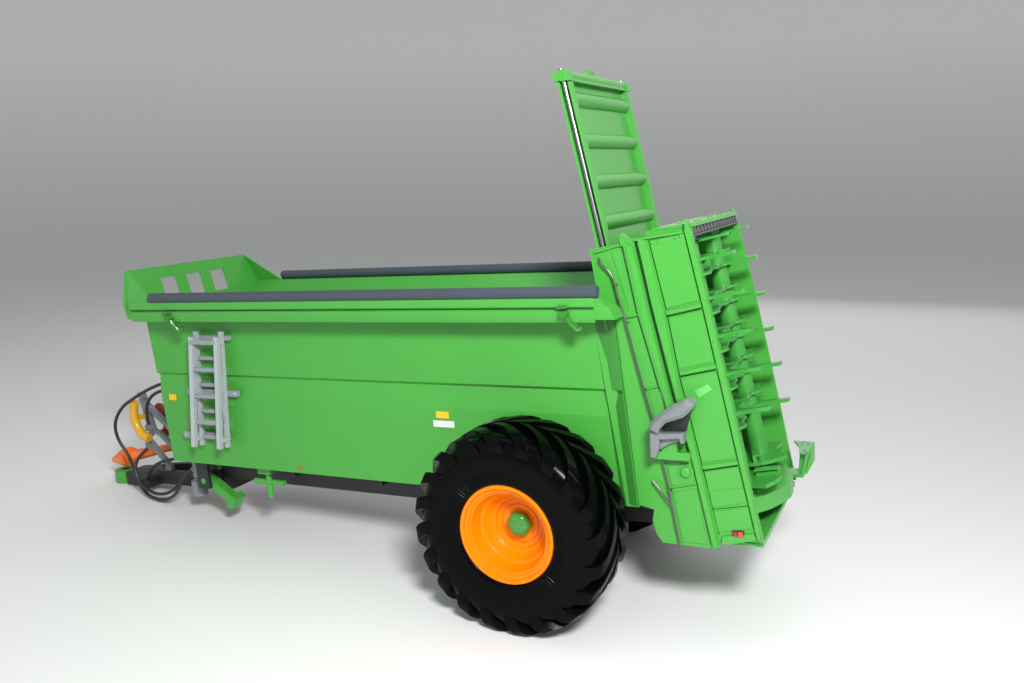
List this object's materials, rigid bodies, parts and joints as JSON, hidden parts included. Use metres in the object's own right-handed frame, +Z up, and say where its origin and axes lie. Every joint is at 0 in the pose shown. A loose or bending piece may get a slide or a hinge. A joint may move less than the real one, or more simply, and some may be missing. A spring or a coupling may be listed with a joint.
{
  "type": "toy manure spreader",
  "caption": "Small scale model of a towed manure spreader with a deep hopper, big tyred wheels, a sliding rear door and two upright beaters.",
  "frame": {"origin": "centre of the footprint box, on the floor the model stands on", "axes": "+X forward towards the hitch, +Y to the left side, +Z up; the model stands nose down on its hitch eye"},
  "size_m": [0.2674, 0.0904, 0.1464],
  "materials": {
    "line_red": "moulded",
    "line_yellow": "moulded",
    "dark_chassis": "satin",
    "steel_pin": "bright",
    "beater_green": "gloss paint",
    "paint_green": "smooth gloss paint",
    "rod_chrome": "polished",
    "grey_plastic": "satin",
    "tube_grey": "satin",
    "hose_black": "satin",
    "ladder_silver": "satin silver-grey",
    "lamp_red": "reflector",
    "pto_orange": "moulded",
    "rim_orange": "gloss paint",
    "tyre_black": "semi-gloss moulded rubber"
  },
  "bodies": {
    "body": {"air_line_red": "line_red", "air_line_yellow": "line_yellow", "axle_beam": "dark_chassis", "axle_pin": "steel_pin", "beater_housing_left": "paint_green", "beater_housing_right": "paint_green", "brake_crank": "paint_green", "chassis_frame": "dark_chassis", "chock_holder": "paint_green", "door_guide_left": "paint_green", "door_guide_right": "paint_green", "drawbar": "dark_chassis", "drawbar_tube": "grey_plastic", "driveline": "dark_chassis", "filter_canister": "grey_plastic", "gearbox": "dark_chassis", "guard_tube_left": "tube_grey", "guard_tube_right": "tube_grey", "headboard": "paint_green", "hitch_eye": "paint_green", "hopper_floor": "grey_plastic", "hopper_front_wall": "paint_green", "hopper_side_left": "paint_green", "hopper_side_right": "paint_green", "hose_clamp_block": "dark_chassis", "hose_inner": "hose_black", "hose_long": "hose_black", "hose_lower": "hose_black", "hose_manifold": "dark_chassis", "hose_rack": "grey_plastic", "hose_wall": "hose_black", "housing_top_beam": "paint_green", "jack_bracket": "paint_green", "ladder": "ladder_silver", "lamp_left": "lamp_red", "lamp_right": "lamp_red", "leaf_spring_left": "dark_chassis", "leaf_spring_right": "dark_chassis", "pto_shaft": "pto_orange", "rear_deck": "paint_green", "rim_rail_left": "paint_green", "rim_rail_right": "paint_green", "scraper_floor": "dark_chassis", "wheel_chock": "grey_plastic"},
    "wheel_left": {"hub_cap_left": "paint_green", "rim_left": "rim_orange", "tyre_left": "tyre_black"},
    "wheel_right": {"hub_cap_right": "paint_green", "rim_right": "rim_orange", "tyre_right": "tyre_black"},
    "sliding_door": {"door": "paint_green", "door_rod_left": "rod_chrome", "door_rod_right": "rod_chrome", "door_top_bar": "paint_green"},
    "beater_left": {"beater_disc_left": "beater_green", "beater_left": "beater_green"},
    "beater_right": {"beater_disc_right": "beater_green", "beater_right": "beater_green"},
    "parking_jack": {"parking_jack": "paint_green"}
  },
  "joints": [
    {"name": "wheel_left_spin", "type": "hinge", "parent": "body", "child": "wheel_left", "pos_m": [-0.06626, 0.03535, 0.028], "axis": [0, 1, 0], "continuous": true},
    {"name": "wheel_right_spin", "type": "hinge", "parent": "body", "child": "wheel_right", "pos_m": [-0.06626, -0.03535, 0.028], "axis": [0, 1, 0], "continuous": true},
    {"name": "door_slide", "type": "slide", "parent": "body", "child": "sliding_door", "axis": [-0.2496, 0, -0.9684], "range_m": [0, 0.04686]},
    {"name": "beater_left_spin", "type": "hinge", "parent": "body", "child": "beater_left", "pos_m": [-0.11912, 0.0119, 0.0412], "axis": [0.2496, 0, 0.9684], "continuous": true},
    {"name": "beater_right_spin", "type": "hinge", "parent": "body", "child": "beater_right", "pos_m": [-0.11912, -0.0119, 0.0412], "axis": [0.2496, 0, 0.9684], "continuous": true},
    {"name": "jack_fold", "type": "hinge", "parent": "body", "child": "parking_jack", "pos_m": [0.06421, 0.01645, 0.01532], "axis": [0, -1, 0], "range_deg": [0, 56]}
  ]
}
